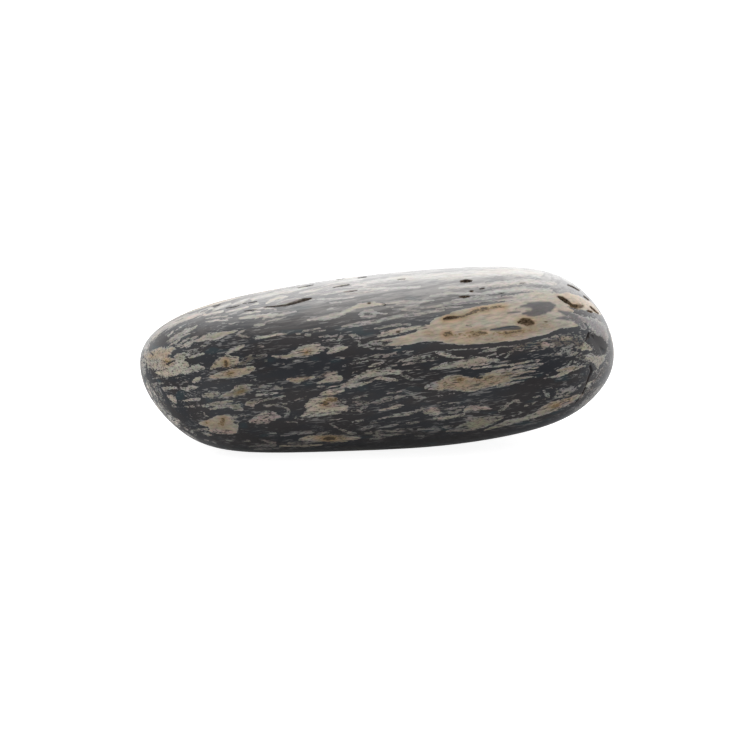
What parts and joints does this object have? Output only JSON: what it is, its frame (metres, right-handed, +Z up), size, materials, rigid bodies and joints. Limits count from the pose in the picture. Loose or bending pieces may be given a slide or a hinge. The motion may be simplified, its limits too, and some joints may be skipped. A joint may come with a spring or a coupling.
{
  "type": "river pebble",
  "caption": "Long water-worn pebble of dark banded stone with frayed cream lenses, small pits and an open slot; a loose natural stone that lies on a flat spot.",
  "frame": {"origin": "on the ground, below the middle of the stone's bounding box", "axes": "+X along the stone from its narrow nose to its tall blunt heel, +Y to its back, +Z up"},
  "size_m": [0.1212, 0.0534, 0.0427],
  "materials": {
    "banded_stone": "river-polished dark grey stone with cream, tan and grey lenses drawn out along its length"
  },
  "bodies": {
    "root": {"pebble": "banded_stone"}
  },
  "joints": []
}
